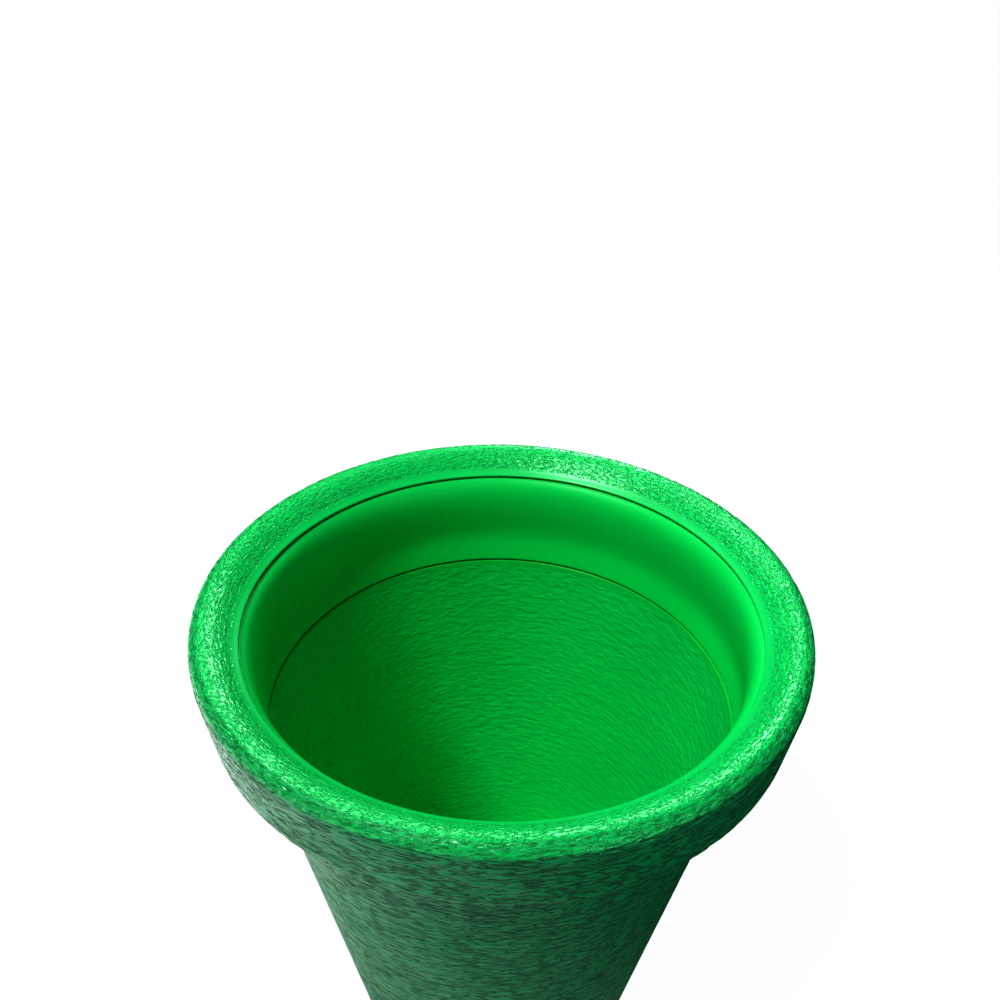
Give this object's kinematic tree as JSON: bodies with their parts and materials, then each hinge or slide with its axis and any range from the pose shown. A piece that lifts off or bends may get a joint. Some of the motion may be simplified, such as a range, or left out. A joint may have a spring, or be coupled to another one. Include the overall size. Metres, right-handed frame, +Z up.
{
  "type": "florist bucket",
  "caption": "Deep round tapered bucket with a hollow overhanging collar, rolled rim, smooth mouth ring and a push-in drain plug.",
  "frame": {"origin": "middle of the base, on the ground", "axes": "+Z up, along the bucket's axis of revolution"},
  "size_m": [0.36, 0.36, 0.36],
  "materials": {
    "textured_plastic": "bark-grained, satin",
    "collar_plastic": "leather-grained, half gloss",
    "smooth_plastic": "smooth satin",
    "plug_plastic": "smooth satin",
    "seal_rubber": "matt"
  },
  "bodies": {
    "bucket": {"bucket_body": "textured_plastic", "rim_collar": "collar_plastic", "mouth_ring": "smooth_plastic"},
    "plug": {"drain_plug": "plug_plastic", "drain_washer": "seal_rubber"}
  },
  "joints": [
    {"name": "plug_lift", "type": "slide", "parent": "bucket", "child": "plug", "axis": [0, 0, 1], "range_m": [0, 0.06]}
  ]
}
